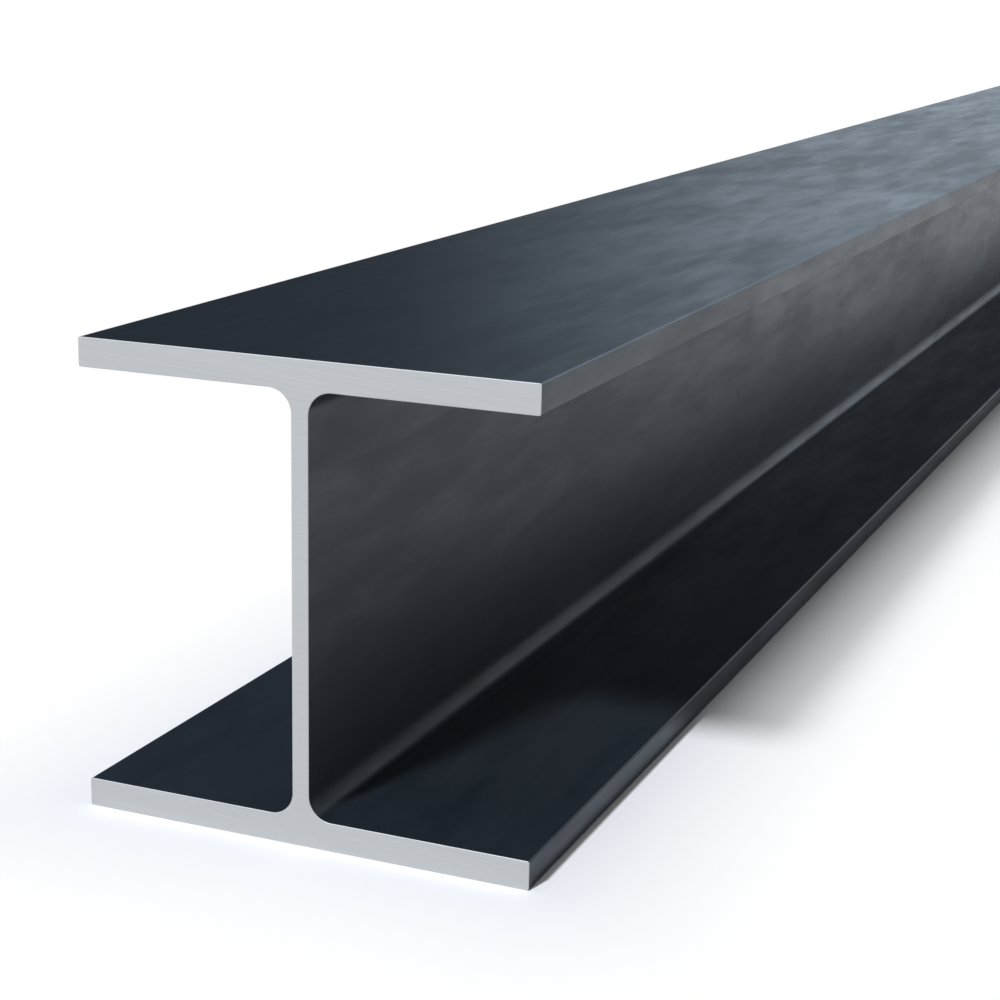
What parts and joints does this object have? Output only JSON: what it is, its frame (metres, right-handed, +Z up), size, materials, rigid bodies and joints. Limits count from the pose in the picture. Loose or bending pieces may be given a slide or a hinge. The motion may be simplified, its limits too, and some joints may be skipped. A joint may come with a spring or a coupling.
{
  "type": "wide-flange steel beam",
  "caption": "Wide-flange steel beam: parallel flanges on a thin web with root fillets, hot rolled in dark mill scale and sawn square at the ends, for posts, girders and frames.",
  "frame": {"origin": "on the floor, at the middle of the bottom flange's underside, half way along the bar", "axes": "+Y along the bar, away from the sawn end that the picture shows; +Z up through the web to the top flange; +X across the flanges"},
  "size_m": [0.2548, 6.096, 0.2563],
  "materials": {
    "rolled_steel": "hot-rolled carbon steel in dark blue-grey mill scale, satin, with bare pale grey sawn ends"
  },
  "bodies": {
    "root": {"beam": "rolled_steel"}
  },
  "joints": []
}
